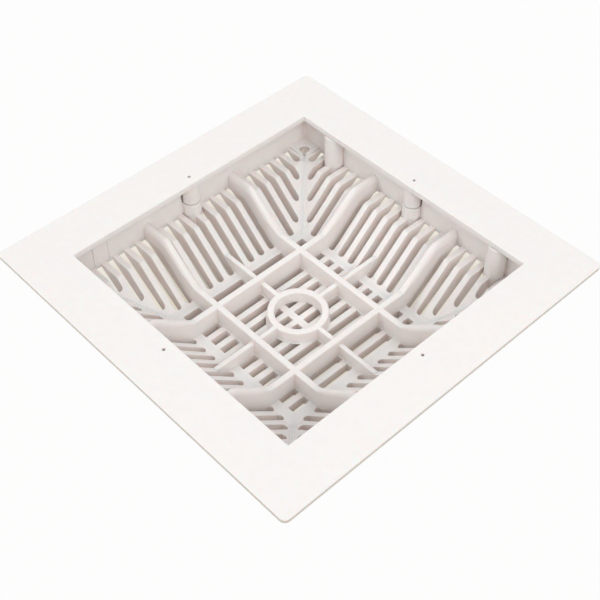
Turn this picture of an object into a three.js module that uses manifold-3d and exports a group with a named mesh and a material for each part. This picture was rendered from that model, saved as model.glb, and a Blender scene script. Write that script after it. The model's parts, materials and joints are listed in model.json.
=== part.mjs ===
// Square ceiling air diffuser: a flat face frame screwed down over a recessed basket of
// slotted grilles, with a lattice of ribs standing in the basket.
// Millimetres, +Z up. The part lies face up on the flat underside of its basket, and the
// origin is the centre of that underside. North is +Y and east is +X.

import * as THREE from 'three';
import { mergeVertices } from 'three/addons/utils/BufferGeometryUtils.js';
import Module from 'manifold-3d';

// Face frame
const FACE_SIDE = 305;
const FACE_THICKNESS = 2.8;
const LAND_DEPTH = 0.4; // the seating land round the back of the frame, below the plate
const LAND_GAP = 3; // from the basket's widest point out to the land
const FACE_CORNER_RADIUS = 4.5;
const FACE_LAP = 10.05; // how far the frame laps in over the collar wall, to its opening
const LIP_DEPTH = 2; // the return lip round the opening, below the plate
const LIP_THICKNESS = 2.6;

// Basket: levels are heights above its underside, and a reach is a distance from the centre
const HEIGHT = 74; // underside of the basket to the face
const COLLAR_REACH = 123.4; // inner face of the upright wall
const COLLAR_WALL = 2.5;
const SHELF_LEVEL = 39;
const SHELF_WIDTH = 19.7; // from the wall in to the head of the slope
const SLOPE_RUN = 32.7; // from the head of the slope in to its foot
const FLOOR_THICKNESS = 9;
const UNDERSIDE_RUN = 51.1; // from the outside of the wall in to where the underside turns flat
const RIM_EDGE = 1.2; // thickness of the shelf at its outer edge
const FLOOR_SEAM_MARGIN = 6; // from the foot of the slope in to the edge of the floor grille

// Key pads on the east and west walls
const KEY_PAD_WIDTH = 13;
const KEY_PAD_DEPTH = 0.6;
const KEY_PAD_PLACE = 86; // along the wall, from its middle
const KEY_PAD_TOP_GAP = 5;

// Posts and bosses
const POST_INSET = 2.2; // from the collar wall in to the screw line, in the middle of each side
const POST_RADIUS = 7;
const POST_DROP = 21; // length of the hanging posts below the face plate
const POCKET_CLEARANCE = 1.2;
const BOSS_RADIUS = 7.6;
const TALL_POST_PLACE = 85.4; // along the north and south walls, from their middles
const TALL_POST_INSET = 3;
const TALL_POST_RADIUS = 7.5;
const TALL_POST_TOP_GAP = 2.8;
const CORNER_PAD_INSET = 10.4; // from the collar walls in to the corner screw
const CORNER_PAD_RADIUS = 6.7;
const CORNER_PAD_HEIGHT = 1.8;

// Slots
const PITCH = 10.62;
const SLOT_WIDTH = 5.7;
const SIDE_SLOT_LEAD = 1.6; // how far a side slot starts inside the foot of the slope
const SIDE_SLOT_END_GAP = 0.4; // between the end of a side slot and the collar wall
const SHORTEST_SLOT = 10;
const HIP_MARGIN = 6; // from the corner diagonal to the end of a slot, along the slot
const FLOOR_SLOT_MARGIN = 3.6; // from the floor slots to the edge of the floor grille
const CROSS_BAR = 6; // solid bar across the middle of the floor, between rows of slots
const RIB_BAR = 7.7; // solid bar under a main rib

// Ribs
const RIB_BAY = 20; // least width of floor outside the main ribs
const RIB_CREST = 5.2;
const RIB_FOOT = 6.5;
const RIB_LEVEL = 23.5; // crest over the floor
const RIB_BEND_INSET = 5.1; // from the head of the slope in to where the crest levels out
const RIB_TOP_LEVEL = 51;
const RIB_EDGE_RADIUS = 1.1;
const CROSS_RIB_WIDTH = 4.2;
const CROSS_RIB_LEVEL = 19.1;
const RING_BORE = 35.8;
const RING_CREST = 46.4;
const RING_FOOT = 47.6;

// Screws
const SCREW_CLEARANCE = 0.15; // all round a shank in its bore
const HEAD_CLEARANCE = 0.4; // all round a head in its recess
const FRAME_SCREW = { shank: 3.5, head: 7, headHeight: 2.4, web: 3 };
const FRAME_SCREW_GRIP = 14.4; // length held in a hanging post
const CORNER_SCREW = { shank: 4.2, head: 7.6, headHeight: 2.4, web: 2.5 };
const CORNER_SCREW_LENGTH = 20;
const PILOT_BORE = 2.2; // through the face over each hanging post
const PILOT_DEPTH = 5; // from the face down to the screw bore
const SOCKET_DEPTH = 1.2;
const SOCKET_WIDTH = 2.6;
const HEAD_RIM = 0.45; // share of a head's height where its dome starts
const HEAD_CROWN = 0.72; // share of a head's width where its dome turns flat

// Fits and facets
const SEAT_GAP = 0.3; // between parts that meet on a slanted face
const ROUND = 32; // facets round a post
const EDGE_STEPS = 3; // facets on a rounded rib edge
const SMALL_ROUND = 16; // facets round a screw or its bore
const OVERCUT = 5; // how far cutting shapes run past what they cut

// Places that follow from the sizes above
const FACE_BACK = HEIGHT - FACE_THICKNESS;
const OPENING_REACH = COLLAR_REACH - FACE_LAP;
const COLLAR_OUTER = COLLAR_REACH + COLLAR_WALL;
const SLOPE_REACH = COLLAR_REACH - SHELF_WIDTH;
const SLOPE_RISE = (SHELF_LEVEL - FLOOR_THICKNESS) / SLOPE_RUN;
const UNDERSIDE_REACH = COLLAR_OUTER - UNDERSIDE_RUN;
const FLOOR_REACH = SLOPE_REACH - SLOPE_RUN;
const FLOOR_PANEL_REACH = FLOOR_REACH - FLOOR_SEAM_MARGIN;
const FLOOR_SLOT_REACH = FLOOR_PANEL_REACH - FLOOR_SLOT_MARGIN;
const SIDE_SLOT_START = FLOOR_REACH - SIDE_SLOT_LEAD;
const SIDE_SLOT_END = COLLAR_REACH - SIDE_SLOT_END_GAP;
const POST_SEAT = FACE_BACK - POST_DROP;
const POST_REACH = COLLAR_REACH - POST_INSET;
const POCKET_RADIUS = POST_RADIUS + POCKET_CLEARANCE;
const LAND_REACH = POST_REACH + POCKET_RADIUS + COLLAR_WALL + LAND_GAP;
const TALL_POST_REACH = COLLAR_REACH - TALL_POST_INSET;
const CORNER_PAD_REACH = COLLAR_REACH - CORNER_PAD_INSET;
const RIB_PLACE = Math.floor((FLOOR_PANEL_REACH - RIB_BAY) / PITCH) * PITCH;
const RIB_BEND_REACH = SLOPE_REACH - RIB_BEND_INSET;
const SIDES = { north: 0, west: Math.PI / 2, south: Math.PI, east: -Math.PI / 2 };
const CORNERS = { northeast: [1, 1], southeast: [1, -1], southwest: [-1, -1], northwest: [-1, 1] };

const plastic = new THREE.MeshStandardMaterial({ color: 0xf1ece8, roughness: 0.42, metalness: 0 });
const steel = new THREE.MeshStandardMaterial({ color: 0xb4b2ad, roughness: 0.35, metalness: 0.9 });

const wasm = await Module();
wasm.setup();

// --- Solids ---------------------------------------------------------------------------

function solid(geometry) {
  const bare = geometry.clone();
  bare.deleteAttribute('normal');
  bare.deleteAttribute('uv');
  const merged = mergeVertices(bare, 1e-5);
  const mesh = new wasm.Mesh({
    numProp: 3,
    vertProperties: new Float32Array(merged.attributes.position.array),
    triVerts: new Uint32Array(merged.index.array),
  });
  return new wasm.Manifold(mesh);
}

function joined(geometries) {
  return geometries.map(solid).reduce((whole, next) => whole.add(next));
}

function cut(body, tools) {
  return tools.map(solid).reduce((left, tool) => left.subtract(tool), body);
}

function named(name, manifold, material) {
  const result = manifold.getMesh();
  const geometry = new THREE.BufferGeometry();
  geometry.setAttribute('position', new THREE.BufferAttribute(result.vertProperties, 3));
  geometry.setIndex(new THREE.BufferAttribute(result.triVerts, 1));
  geometry.computeVertexNormals();
  const mesh = new THREE.Mesh(geometry, material);
  mesh.name = name;
  return mesh;
}

// --- Outlines and primitives ----------------------------------------------------------

function outline(points) {
  return new THREE.Shape(points.map(([x, y]) => new THREE.Vector2(x, y)));
}

function square(reach) {
  return outline([[-reach, -reach], [reach, -reach], [reach, reach], [-reach, reach]]);
}

function roundedSquare(reach, radius) {
  const shape = new THREE.Shape();
  const inner = reach - radius;
  shape.absarc(inner, inner, radius, 0, Math.PI / 2);
  shape.absarc(-inner, inner, radius, Math.PI / 2, Math.PI);
  shape.absarc(-inner, -inner, radius, Math.PI, 1.5 * Math.PI);
  shape.absarc(inner, -inner, radius, 1.5 * Math.PI, 2 * Math.PI);
  return shape;
}

// An outline drawn in plan, raised from one level to another.
function raised(shape, bottom, top, curveSegments = 4) {
  const settings = { depth: top - bottom, bevelEnabled: false, curveSegments };
  return new THREE.ExtrudeGeometry(shape, settings).translate(0, 0, bottom);
}

function box([x0, x1], [y0, y1], bottom, top) {
  return raised(outline([[x0, y0], [x1, y0], [x1, y1], [x0, y1]]), bottom, top);
}

function post(x, y, radius, bottom, top, facets = ROUND) {
  const geometry = new THREE.CylinderGeometry(radius, radius, top - bottom, facets);
  return geometry.rotateX(Math.PI / 2).translate(x, y, (bottom + top) / 2);
}

// An outline of distance from the centre against level, run east to west across a side.
function runAcross(shape, reach) {
  const settings = { depth: 2 * reach, bevelEnabled: false };
  const upright = new THREE.Matrix4().makeBasis(
    new THREE.Vector3(0, 1, 0),
    new THREE.Vector3(0, 0, 1),
    new THREE.Vector3(1, 0, 0),
  );
  return new THREE.ExtrudeGeometry(shape, settings).applyMatrix4(upright).translate(-reach, 0, 0);
}

// A closed skin through sections that all have the same number of points, in the same order.
function lofted(sections) {
  const count = sections[0].length;
  const positions = sections.flat().flatMap((point) => point.toArray());
  const faces = [];
  for (let row = 0; row + 1 < sections.length; row += 1) {
    for (let i = 0; i < count; i += 1) {
      const a = row * count + i;
      const b = row * count + ((i + 1) % count);
      faces.push(a, b, b + count, a, b + count, a + count);
    }
  }
  const last = (sections.length - 1) * count;
  for (let i = 1; i + 1 < count; i += 1) {
    faces.push(0, i + 1, i, last, last + i, last + i + 1);
  }
  const geometry = new THREE.BufferGeometry();
  geometry.setAttribute('position', new THREE.Float32BufferAttribute(positions, 3));
  geometry.setIndex(faces);
  return geometry;
}

// --- Face frame -----------------------------------------------------------------------

function faceFrame() {
  const plate = roundedSquare(FACE_SIDE / 2, FACE_CORNER_RADIUS);
  plate.holes.push(square(OPENING_REACH));
  const lip = square(OPENING_REACH + LIP_THICKNESS);
  lip.holes.push(square(OPENING_REACH));
  const land = roundedSquare(FACE_SIDE / 2, FACE_CORNER_RADIUS);
  land.holes.push(square(LAND_REACH));
  const boreTop = HEIGHT - PILOT_DEPTH;
  const solids = [
    raised(plate, FACE_BACK, HEIGHT),
    raised(lip, FACE_BACK - LIP_DEPTH, FACE_BACK),
    raised(land, FACE_BACK - LAND_DEPTH, FACE_BACK),
  ];
  const bores = [];
  for (const turn of Object.values(SIDES)) {
    const bore = FRAME_SCREW.shank / 2 + SCREW_CLEARANCE;
    solids.push(post(0, POST_REACH, POST_RADIUS, POST_SEAT, FACE_BACK).rotateZ(turn));
    bores.push(post(0, POST_REACH, bore, POST_SEAT - OVERCUT, boreTop, SMALL_ROUND).rotateZ(turn));
    bores.push(
      post(0, POST_REACH, PILOT_BORE / 2, POST_SEAT, HEIGHT + OVERCUT, SMALL_ROUND).rotateZ(turn),
    );
  }
  return cut(joined(solids), bores);
}

// --- Rim collar -----------------------------------------------------------------------

// The boss under a hanging post, with the bulge of the wall that goes round the post.
function middleBoss(turn) {
  const bulge = post(0, POST_REACH, POCKET_RADIUS + COLLAR_WALL, SHELF_LEVEL, FACE_BACK);
  const cavity = raised(square(COLLAR_REACH), SHELF_LEVEL - OVERCUT, FACE_BACK + OVERCUT);
  const boss = post(0, POST_REACH, BOSS_RADIUS, SHELF_LEVEL, POST_SEAT);
  return cut(solid(bulge.rotateZ(turn)), [cavity]).add(solid(boss.rotateZ(turn)));
}

function cornerPad([east, north]) {
  const place = CORNER_PAD_REACH;
  const shape = new THREE.Shape();
  shape.moveTo(COLLAR_REACH, COLLAR_REACH);
  shape.lineTo(place - CORNER_PAD_RADIUS, COLLAR_REACH);
  shape.absarc(place, place, CORNER_PAD_RADIUS, Math.PI, 1.5 * Math.PI);
  shape.lineTo(COLLAR_REACH, place - CORNER_PAD_RADIUS);
  const turn = Math.atan2(north, east) - Math.PI / 4;
  return raised(shape, SHELF_LEVEL, SHELF_LEVEL + CORNER_PAD_HEIGHT, 5).rotateZ(turn);
}

function rimCollar() {
  const wall = square(COLLAR_OUTER);
  wall.holes.push(square(COLLAR_REACH));
  const solids = [raised(wall, SHELF_LEVEL, FACE_BACK)];
  const postTop = FACE_BACK - TALL_POST_TOP_GAP;
  for (const [east, north] of Object.values(CORNERS)) {
    const place = [east * TALL_POST_PLACE, north * TALL_POST_REACH];
    solids.push(post(...place, TALL_POST_RADIUS, SHELF_LEVEL, postTop));
    solids.push(cornerPad([east, north]));
  }
  for (const side of [-1, 1]) {
    const middle = side * KEY_PAD_PLACE;
    const across = [middle - KEY_PAD_WIDTH / 2, middle + KEY_PAD_WIDTH / 2];
    const through = [COLLAR_REACH - KEY_PAD_DEPTH, COLLAR_REACH].map((reach) => side * reach);
    solids.push(box(through.sort((a, b) => a - b), across, SHELF_LEVEL, FACE_BACK - KEY_PAD_TOP_GAP));
  }
  const bores = [];
  let body = joined(solids);
  for (const turn of Object.values(SIDES)) {
    const bore = FRAME_SCREW.shank / 2 + SCREW_CLEARANCE;
    body = body.add(middleBoss(turn));
    bores.push(post(0, POST_REACH, POCKET_RADIUS, POST_SEAT, FACE_BACK + OVERCUT).rotateZ(turn));
    bores.push(
      post(0, POST_REACH, bore, SHELF_LEVEL - OVERCUT, POST_SEAT + OVERCUT, SMALL_ROUND).rotateZ(turn),
    );
  }
  for (const [east, north] of Object.values(CORNERS)) {
    const place = [east * CORNER_PAD_REACH, north * CORNER_PAD_REACH];
    const recess = CORNER_SCREW.head / 2 + HEAD_CLEARANCE;
    const top = SHELF_LEVEL + CORNER_PAD_HEIGHT + OVERCUT;
    bores.push(post(...place, recess, SHELF_LEVEL - OVERCUT, top, SMALL_ROUND));
  }
  return cut(body, bores);
}

// --- Grilles --------------------------------------------------------------------------

// The middles of the slots on one half of a side or of the floor, as far out as reach.
function slotPlaces(reach) {
  const places = [];
  for (let x = PITCH / 2; x <= reach; x += PITCH) {
    places.push(x);
  }
  return places;
}

// One slot in plan: round at its inner end and square at its outer end.
function sideSlot(x, start) {
  const half = SLOT_WIDTH / 2;
  const shape = new THREE.Shape();
  shape.moveTo(x + half, SIDE_SLOT_END);
  shape.lineTo(x - half, SIDE_SLOT_END);
  shape.absarc(x, start + half, half, Math.PI, 2 * Math.PI);
  return raised(shape, -OVERCUT, SHELF_LEVEL + OVERCUT, 3);
}

function sideSlots() {
  const slots = [];
  for (const x of slotPlaces(SIDE_SLOT_END - HIP_MARGIN - SHORTEST_SLOT)) {
    const start = Math.max(SIDE_SLOT_START, x + HIP_MARGIN);
    slots.push(sideSlot(x, start), sideSlot(-x, start));
  }
  return joined(slots);
}

// The grille on the north side: floor edge, slope and shelf, mitred at both corners.
function sideGrille(hasTallPosts) {
  const profile = outline([
    [FLOOR_PANEL_REACH, 0],
    [UNDERSIDE_REACH, 0],
    [COLLAR_OUTER, SHELF_LEVEL - RIM_EDGE],
    [COLLAR_OUTER, SHELF_LEVEL],
    [SLOPE_REACH, SHELF_LEVEL],
    [FLOOR_REACH, FLOOR_THICKNESS],
    [FLOOR_PANEL_REACH, FLOOR_THICKNESS],
  ]);
  const setBack = SEAT_GAP / Math.SQRT2;
  const far = COLLAR_OUTER + OVERCUT;
  const mitre = outline([[0, setBack], [far - setBack, far], [setBack - far, far]]);
  const feet = [post(0, POST_REACH, BOSS_RADIUS, -OVERCUT, SHELF_LEVEL + OVERCUT)];
  for (const side of hasTallPosts ? [-1, 1] : []) {
    const x = side * TALL_POST_PLACE;
    feet.push(post(x, TALL_POST_REACH, TALL_POST_RADIUS, -OVERCUT, SHELF_LEVEL + OVERCUT));
  }
  const panel = solid(runAcross(profile, COLLAR_OUTER));
  const blank = panel.intersect(solid(raised(mitre, -OVERCUT, SHELF_LEVEL + OVERCUT)));
  return cut(blank.subtract(cut(sideSlots(), feet)), screwBores());
}

// The frame screw comes up from below, and a corner screw goes down at each mitre.
function screwBores() {
  const top = SHELF_LEVEL + OVERCUT;
  const frameBore = FRAME_SCREW.shank / 2 + SCREW_CLEARANCE;
  const frameRecess = FRAME_SCREW.head / 2 + HEAD_CLEARANCE;
  const bores = [
    post(0, POST_REACH, frameBore, 0, top, SMALL_ROUND),
    post(0, POST_REACH, frameRecess, 0, SHELF_LEVEL - FRAME_SCREW.web, SMALL_ROUND),
  ];
  const cornerBore = CORNER_SCREW.shank / 2 + SCREW_CLEARANCE;
  const cornerRecess = CORNER_SCREW.head / 2 + HEAD_CLEARANCE;
  for (const side of [-1, 1]) {
    const place = [side * CORNER_PAD_REACH, CORNER_PAD_REACH];
    bores.push(post(...place, cornerBore, 0, top, SMALL_ROUND));
    bores.push(post(...place, cornerRecess, SHELF_LEVEL - CORNER_SCREW.web, top, SMALL_ROUND));
  }
  return bores;
}

function floorGrille() {
  const rows = [
    [CROSS_BAR / 2, RIB_PLACE - RIB_BAR / 2],
    [RIB_PLACE + RIB_BAR / 2, FLOOR_SLOT_REACH],
  ];
  const half = SLOT_WIDTH / 2;
  const slots = [];
  for (const place of slotPlaces(FLOOR_SLOT_REACH - half)) {
    for (const x of [-place, place]) {
      for (const [near, far] of rows) {
        slots.push(box([x - half, x + half], [near, far], -OVERCUT, FLOOR_THICKNESS + OVERCUT));
        slots.push(box([x - half, x + half], [-far, -near], -OVERCUT, FLOOR_THICKNESS + OVERCUT));
      }
    }
  }
  return cut(solid(raised(square(FLOOR_PANEL_REACH), 0, FLOOR_THICKNESS)), slots);
}

// --- Ribs -----------------------------------------------------------------------------

// A section across a rib that runs north: wide at its foot, with rounded crest edges.
function ribSection(reach, foot, crest, bottom, top) {
  const points = [
    new THREE.Vector3(-foot / 2, reach, bottom),
    new THREE.Vector3(foot / 2, reach, bottom),
  ];
  for (const side of [1, -1]) {
    for (let i = 0; i <= EDGE_STEPS; i += 1) {
      const step = side > 0 ? i : EDGE_STEPS - i;
      const angle = (step / EDGE_STEPS) * (Math.PI / 2);
      const x = side * (crest / 2 - RIB_EDGE_RADIUS * (1 - Math.cos(angle)));
      const z = top - RIB_EDGE_RADIUS * (1 - Math.sin(angle));
      points.push(new THREE.Vector3(x, reach, z));
    }
  }
  return points;
}

function straightRib(from, to, foot, crest, level) {
  const ends = [to, from];
  return lofted(ends.map((reach) => ribSection(reach, foot, crest, FLOOR_THICKNESS, level)));
}

// How far a slanted rib foot steps back so that it clears the slope by the seat gap.
function slopeSetBack() {
  return SEAT_GAP / Math.sin(Math.atan(SLOPE_RISE));
}

// A cross rib dies out where its level crest runs into the slope.
function crossRib(turn) {
  const foot = FLOOR_REACH - slopeSetBack();
  const end = foot + (CROSS_RIB_LEVEL - FLOOR_THICKNESS) / SLOPE_RISE;
  const ring = (RING_BORE + RING_CREST) / 4;
  const rib = straightRib(ring, end, CROSS_RIB_WIDTH, CROSS_RIB_WIDTH, CROSS_RIB_LEVEL);
  const slope = outline([
    [foot, FLOOR_THICKNESS],
    [end + OVERCUT, FLOOR_THICKNESS],
    [end + OVERCUT, CROSS_RIB_LEVEL + OVERCUT * SLOPE_RISE],
  ]);
  return cut(solid(rib.rotateZ(turn)), [runAcross(slope, CROSS_RIB_WIDTH).rotateZ(turn)]);
}

function centreRing() {
  const bore = RING_BORE / 2;
  const crest = RING_CREST / 2;
  const chamfer = RIB_EDGE_RADIUS / 2;
  const profile = [
    [bore, FLOOR_THICKNESS],
    [RING_FOOT / 2, FLOOR_THICKNESS],
    [crest, CROSS_RIB_LEVEL - chamfer],
    [crest - chamfer, CROSS_RIB_LEVEL],
    [bore + chamfer, CROSS_RIB_LEVEL],
    [bore, CROSS_RIB_LEVEL - chamfer],
    [bore, FLOOR_THICKNESS],
  ];
  const points = profile.map(([radius, level]) => new THREE.Vector2(radius, level));
  return new THREE.LatheGeometry(points, 2 * ROUND).rotateX(Math.PI / 2);
}

// The lattice on the floor: four main ribs, four cross ribs and the centre ring.
function floorRibs() {
  const reach = FLOOR_PANEL_REACH;
  let body = solid(centreRing());
  for (const turn of Object.values(SIDES)) {
    const rib = straightRib(-reach, reach, RIB_FOOT, RIB_CREST, RIB_LEVEL);
    body = body.add(solid(rib.translate(RIB_PLACE, 0, 0).rotateZ(turn)));
    body = body.add(crossRib(turn));
  }
  return body;
}

// A main rib's climb from the floor, up the north slope and along the shelf to the collar.
function slopeRib() {
  const foot = FLOOR_REACH - slopeSetBack();
  const head = SLOPE_REACH - slopeSetBack();
  const crestRise = (RIB_TOP_LEVEL - RIB_LEVEL) / (RIB_BEND_REACH - FLOOR_PANEL_REACH);
  const stations = [COLLAR_REACH, head, RIB_BEND_REACH, foot, FLOOR_PANEL_REACH];
  const sections = stations.map((reach) => {
    const climb = FLOOR_THICKNESS + (reach - foot) * SLOPE_RISE;
    const bottom = THREE.MathUtils.clamp(climb, FLOOR_THICKNESS, SHELF_LEVEL);
    const top = RIB_LEVEL + (reach - FLOOR_PANEL_REACH) * crestRise;
    return ribSection(reach, RIB_FOOT, RIB_CREST, bottom, Math.min(top, RIB_TOP_LEVEL));
  });
  return solid(lofted(sections));
}

// --- Screws ---------------------------------------------------------------------------

// A pan head screw on the Z axis, with the underside of its head at the origin and its
// point downwards. A square socket is sunk into the head.
function screw({ shank, head, headHeight }, length) {
  const point = shank / 2;
  const profile = [
    [0, -length],
    [shank / 2, point - length],
    [shank / 2, 0],
    [head / 2, 0],
    [head / 2, headHeight * HEAD_RIM],
    [(head / 2) * HEAD_CROWN, headHeight],
    [0, headHeight],
  ];
  const points = profile.map(([radius, level]) => new THREE.Vector2(radius, level));
  const blank = new THREE.LatheGeometry(points, SMALL_ROUND).rotateX(Math.PI / 2);
  const half = SOCKET_WIDTH / 2;
  const socket = box([-half, half], [-half, half], headHeight - SOCKET_DEPTH, headHeight + OVERCUT);
  return cut(solid(blank), [socket]);
}

// --- Assembly -------------------------------------------------------------------------

const diffuser = new THREE.Group();
diffuser.name = 'ceiling_air_diffuser';

diffuser.add(named('face_frame', faceFrame(), plastic));
diffuser.add(named('rim_collar', rimCollar(), plastic));
diffuser.add(named('floor_grille', floorGrille(), plastic));
diffuser.add(named('floor_ribs', floorRibs(), plastic));

const frameScrewSeat = SHELF_LEVEL - FRAME_SCREW.web;
const frameScrewLength = POST_SEAT - frameScrewSeat + FRAME_SCREW_GRIP;
for (const [side, turn] of Object.entries(SIDES)) {
  const wing = new THREE.Group();
  wing.rotation.z = turn;

  const hasTallPosts = side === 'north' || side === 'south';
  wing.add(named(`side_grille_${side}`, sideGrille(hasTallPosts), plastic));

  for (const [hand, x] of [['left', -RIB_PLACE], ['right', RIB_PLACE]]) {
    const rib = named(`slope_rib_${side}_${hand}`, slopeRib(), plastic);
    rib.position.x = x;
    wing.add(rib);
  }

  const frameScrew = named(`frame_screw_${side}`, screw(FRAME_SCREW, frameScrewLength), steel);
  frameScrew.position.set(0, POST_REACH, frameScrewSeat);
  frameScrew.rotation.x = Math.PI;
  wing.add(frameScrew);
  diffuser.add(wing);
}

for (const [corner, [east, north]] of Object.entries(CORNERS)) {
  const cornerScrew = named(`corner_screw_${corner}`, screw(CORNER_SCREW, CORNER_SCREW_LENGTH), steel);
  const place = [east * CORNER_PAD_REACH, north * CORNER_PAD_REACH];
  cornerScrew.position.set(...place, SHELF_LEVEL - CORNER_SCREW.web);
  diffuser.add(cornerScrew);
}

export default diffuser;
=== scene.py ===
import json
import math

import bmesh
import bpy
from mathutils import Matrix, Quaternion, Vector
from mathutils.geometry import delaunay_2d_cdt

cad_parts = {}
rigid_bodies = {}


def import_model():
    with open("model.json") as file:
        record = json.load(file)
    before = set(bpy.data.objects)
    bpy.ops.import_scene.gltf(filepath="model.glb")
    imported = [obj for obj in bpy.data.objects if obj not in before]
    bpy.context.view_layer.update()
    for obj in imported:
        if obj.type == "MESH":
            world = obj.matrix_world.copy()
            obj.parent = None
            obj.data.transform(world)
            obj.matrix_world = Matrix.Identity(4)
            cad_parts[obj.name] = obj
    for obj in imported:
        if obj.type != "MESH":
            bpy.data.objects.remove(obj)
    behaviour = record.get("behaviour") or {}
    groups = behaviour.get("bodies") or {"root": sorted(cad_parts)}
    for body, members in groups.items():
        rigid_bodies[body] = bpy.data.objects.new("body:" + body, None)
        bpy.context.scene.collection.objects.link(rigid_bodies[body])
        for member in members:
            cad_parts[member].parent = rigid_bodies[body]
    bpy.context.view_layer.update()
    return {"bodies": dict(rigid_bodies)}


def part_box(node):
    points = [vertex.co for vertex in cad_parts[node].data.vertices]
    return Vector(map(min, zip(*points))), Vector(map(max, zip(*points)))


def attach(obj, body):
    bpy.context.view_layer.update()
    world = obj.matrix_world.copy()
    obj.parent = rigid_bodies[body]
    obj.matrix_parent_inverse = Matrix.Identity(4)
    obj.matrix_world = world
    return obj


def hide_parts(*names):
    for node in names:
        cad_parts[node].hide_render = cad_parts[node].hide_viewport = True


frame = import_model()
body = next(iter(frame["bodies"]))

# A square ceiling air diffuser, face up on a pale floor. Sizes are in millimetres until
# a mesh is made. A reach is a distance from the middle and a level is a height over the
# underside. North is +Y and east is +X.
MM = 0.001


def span(node):
    """A CAD node's lowest and highest corners, in millimetres."""
    low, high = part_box(node)
    return low / MM, high / MM


# --- Sizes that the CAD nodes give ------------------------------------------------------

frame_low, frame_high = span("face_frame")
collar_low, collar_high = span("rim_collar")
floor_high = span("floor_grille")[1]
side_high = span("side_grille_north")[1]
lattice_high = span("floor_ribs")[1]
rib_low, rib_high = span("slope_rib_north_right")
frame_screw_low, frame_screw_high = span("frame_screw_north")
corner_screw_low, corner_screw_high = span("corner_screw_northeast")

FACE_REACH = frame_high.x
FACE = frame_high.z
POST_SEAT = frame_low.z
FACE_BACK = collar_high.z
SHELF = collar_low.z
COLLAR_OUTER = side_high.y
COLLAR_REACH = rib_high.y
PANEL_REACH = floor_high.x
FLOOR = floor_high.z
RIB_PLACE = (rib_low.x + rib_high.x) / 2
RIB_FOOT = rib_high.x - rib_low.x
RIB_LEVEL = lattice_high.z
RIB_TOP = rib_high.z
POST_REACH = (frame_screw_low.y + frame_screw_high.y) / 2
CORNER_PLACE = (corner_screw_low.x + corner_screw_high.x) / 2

# --- Sizes of the detail ----------------------------------------------------------------

# Face frame
OPENING_REACH = COLLAR_REACH - 10.05  # the frame laps in over the collar wall
FACE_CORNER = 4.5
OPENING_CORNER = 0.5
FACE_EDGE = 0.5
OPENING_EDGE = 0.45
LIP_BOTTOM = FACE_BACK - 2
LIP_WIDTH = 2.6
LAND_BOTTOM = FACE_BACK - 0.4
LAND_CORNER = 3
LAND_GAP = 3  # from the bulges of the collar out to the land

# Basket
FOOT = 71  # foot of the slope
HEAD = 103.7  # head of the slope
UNDER = 74.8  # where the underside leaves the level
RIM_EDGE = 1.2  # thickness of the shelf at its outer edge
FOOT_BLEND = 1.26  # half of the bend at the foot
HEAD_BLEND = 1.2
UNDER_BLEND = 0.45
COLLAR_EDGE = 0.3
COLLAR_CORNER = 1.2
SINK = 0.05  # how far a piece reaches into what it stands on
PITCH = 10.62
SLOT = 5.7
SLOT_START = 69.4
SLOT_END = COLLAR_REACH - 0.1
SLOT_EDGE = 0.45
HIP_GAP = 6  # from the diagonal to the end of a slot, along the slot
SHORTEST_SLOT = 10
FLOOR_ROWS = ((3, 38.63), (46.33, 61.4))
FLOOR_SLOT_CORNER = 0.5
HIP_HALF = 1.7  # the hip's two bead lines, by distance from the diagonal
HIP_CREST = 1.35
HIP_VALLEY = 0.85
HIP_RISE = 0.55
HIP_VALLEY_RISE = 0.25

# Posts
POST_STEPS = 64
POST_RADIUS = 7
POST_EDGE = 0.4
POST_GAP = 0.9  # the line between a hanging post and its boss
POST_GAP_DEPTH = 1.6
POCKET_RADIUS = 8.2
BULGE_RADIUS = POCKET_RADIUS + 2.5
BOSS_RADIUS = 7.6
BOSS_EDGE = 0.5
LAND_REACH = POST_REACH + BULGE_RADIUS + LAND_GAP
TALL_PLACE = 85.4
TALL_REACH = COLLAR_REACH - 3
TALL_RADIUS = 8
TALL_EDGE = 1.6
TALL_TOP = FACE_BACK - 2.8
PAD_RADIUS = 6.7
PAD_HEIGHT = 1.8
PAD_EDGE = 0.7
NOTCH = ((2.4, -3.4), (2.4, 3.4), (8.6, 0))
KEY_PLACE = 86
KEY_WIDTH = 13
KEY_DEPTH = 0.6
KEY_EDGE = 0.25
KEY_TOP = FACE_BACK - 5
GROOVE_WIDTH = 0.5
GROOVE_DEPTH = 0.3

# Ribs
RIB_CREST = 5.2
RIB_EDGE = 1.1
RIB_FLARE = 0.1
RIB_SKIRT = 0.7  # how far a rib's foot goes down into a slot
RIB_FOOT_BEND = PANEL_REACH + 1.5
RIB_HEAD_BEND = 98.6
SLOPE_SKIRT = 3
SLOPE_CREST = 6.9
SLOPE_CROWN_REACH = 82  # from here up, a slope rib has its full crown
SLOPE_EDGE = 2.9
SLOPE_DROP = 4.8
CROSS_WIDTH = 4.2
CROSS_LEVEL = RIB_LEVEL - 4.4
CROSS_EDGE = 0.9
CROSS_FLARE = 0.3
CROSS_TIP = 0.4  # thickness of a cross rib where it runs out on the slope
RING_BORE = 17.9
RING_CREST = 23.2
RING_FOOT = 23.8
RING_EDGE = 0.8

# Screws and their bores, as radii; the frame screw's recess is radius against level
FRAME_BORE = 1.9
FRAME_RECESS = ((4.3, -1), (3.9, SHELF - 5), (3.9, SHELF - 3))
PILOT_BORE = 1.2
PILOT_DEPTH = 5
CORNER_BORE = 2.25
CORNER_RECESS = 4
CORNER_WEB = 2.5
SCREW_HEAD = 2.4

# Camera; its aim and distance are shares of the face's side
VIEW_AZIMUTH = 47.42
VIEW_ELEVATION = 47.81
VIEW_ROLL = -0.68
AIM = (0.0981, -0.0832)
DISTANCE = 2.592
LENS = 68.92

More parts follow.
